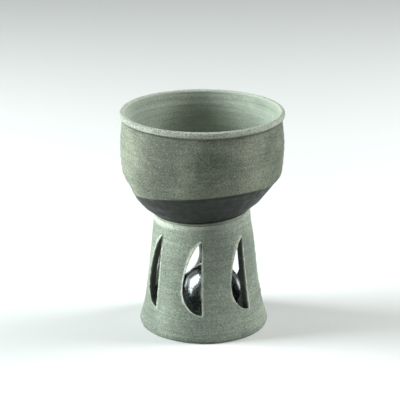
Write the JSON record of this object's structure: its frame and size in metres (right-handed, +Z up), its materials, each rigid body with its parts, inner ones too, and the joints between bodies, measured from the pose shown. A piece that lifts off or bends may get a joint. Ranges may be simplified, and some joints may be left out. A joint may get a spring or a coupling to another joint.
{
  "type": "stoneware rattle cup",
  "caption": "Wheel-thrown stoneware cup on a hollow foot with blade-shaped slots, holding a loose ball that rattles when the cup is moved.",
  "frame": {"origin": "centre of the standing ring, on the surface that the cup stands on", "axes": "+Z up along the wheel axis, -Y towards the viewer of the picture, +X to the viewer's right"},
  "size_m": [0.085, 0.0849, 0.116],
  "materials": {
    "stoneware": "unglazed grey-green stoneware, sandy above and smooth where turned",
    "luting_slip": "pale rough slip",
    "ball_steel": "polished"
  },
  "bodies": {
    "cup": {"foot": "stoneware", "bowl": "stoneware", "base_slab": "stoneware", "upper_luting": "luting_slip", "lower_luting": "luting_slip"},
    "ball": {"rattle_ball": "ball_steel"}
  },
  "joints": [
    {"name": "ball_roll", "type": "slide", "parent": "cup", "child": "ball", "axis": [0.662, -0.7495, 0], "range_m": [-0.0187, 0.0027]}
  ]
}
